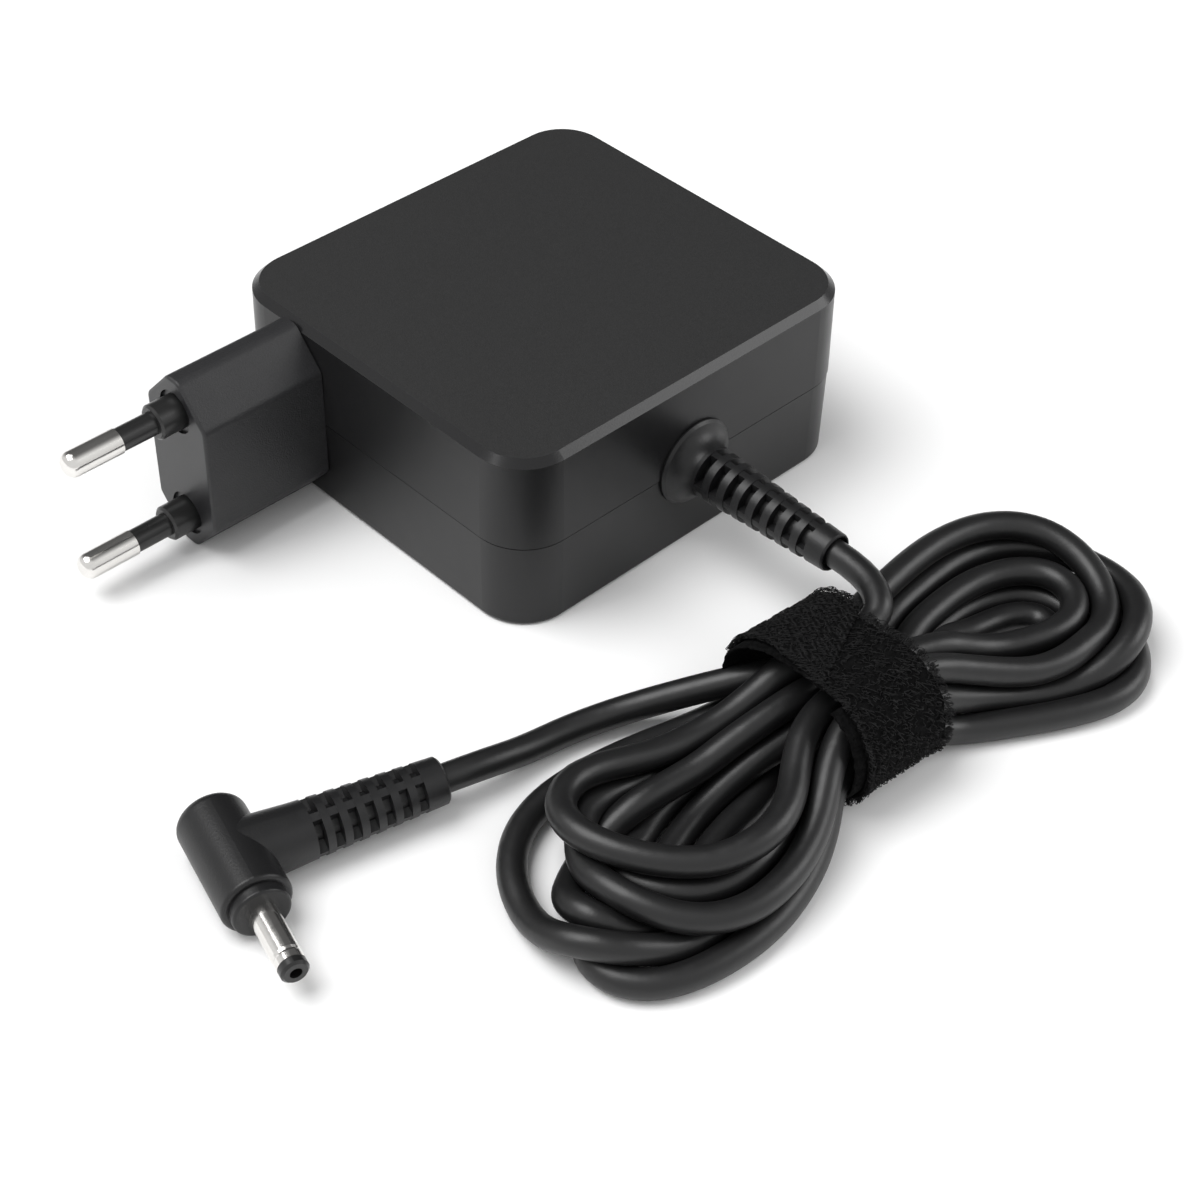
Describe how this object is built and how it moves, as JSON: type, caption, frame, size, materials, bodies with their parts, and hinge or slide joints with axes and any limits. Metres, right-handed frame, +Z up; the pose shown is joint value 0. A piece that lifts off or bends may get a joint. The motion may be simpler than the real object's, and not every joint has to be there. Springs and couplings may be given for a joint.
{
  "type": "laptop power adapter",
  "caption": "Square black wall-plug power adapter with a fixed two-pin mains plug, a strapped hank of cord and a right-angle barrel connector.",
  "frame": {"origin": "middle of the case's flat underside, on the table", "axes": "+Z up out of the top panel, -X the way the mains pins point, -Y the side that the cord leaves by"},
  "size_m": [0.1415, 0.1326, 0.0305],
  "materials": {
    "case_plastic": "fine satin moulded black",
    "plug_plastic": "fine-grained black",
    "sleeve_plastic": "smooth black",
    "pin_nickel": "polished nickel",
    "cord_jacket": "smooth matt black PVC",
    "relief_rubber": "satin black",
    "strap_fabric": "black hook-and-loop pile",
    "tip_plastic": "black",
    "contact_brass": "plated spring contact",
    "board": "green solder mask",
    "sheet_plastic": "clear insulating film",
    "ferrite": "sintered dark grey",
    "winding_tape": "yellow polyester tape",
    "copper_wire": "enamelled copper",
    "capacitor_sleeve": "dark blue heat-shrink sleeve",
    "film_box": "yellow moulded box",
    "disc_ceramic": "blue lacquer",
    "device_epoxy": "black moulding compound",
    "heatsink_aluminium": "bright sheet",
    "pad_rubber": "grey silicone",
    "wire_insulation": "red silicone"
  },
  "bodies": {
    "root": {"bridge_rectifier": "device_epoxy", "bulk_capacitor": "capacitor_sleeve", "cable_strap": "strap_fabric", "case_strain_relief": "relief_rubber", "centre_contact": "contact_brass", "choke_core": "ferrite", "choke_windings": "copper_wire", "circuit_board": "board", "controller_chip": "device_epoxy", "cord_hank": "cord_jacket", "cord_in_case_relief": "cord_jacket", "cord_in_dc_relief": "cord_jacket", "cord_lead_in": "cord_jacket", "cord_lead_out": "cord_jacket", "dc_barrel": "pin_nickel", "dc_plug_body": "relief_rubber", "dc_strain_relief": "relief_rubber", "heat_spreader": "heatsink_aluminium", "insulation_sheet": "sheet_plastic", "lower_shell": "case_plastic", "mains_fuse": "device_epoxy", "mains_pin_lower": "pin_nickel", "mains_pin_upper": "pin_nickel", "mains_wires": "wire_insulation", "optocoupler": "device_epoxy", "output_capacitors": "capacitor_sleeve", "output_choke": "copper_wire", "output_rectifier": "device_epoxy", "output_wires": "wire_insulation", "pin_sleeve_lower": "sleeve_plastic", "pin_sleeve_upper": "sleeve_plastic", "plug_housing": "plug_plastic", "primary_heatsink": "heatsink_aluminium", "secondary_heatsink": "heatsink_aluminium", "switching_transistor": "device_epoxy", "thermal_pad": "pad_rubber", "tip_insulator": "tip_plastic", "transformer_core": "ferrite", "transformer_winding": "winding_tape", "upper_shell": "case_plastic", "x_capacitor": "film_box", "y_capacitor": "disc_ceramic"}
  },
  "joints": []
}
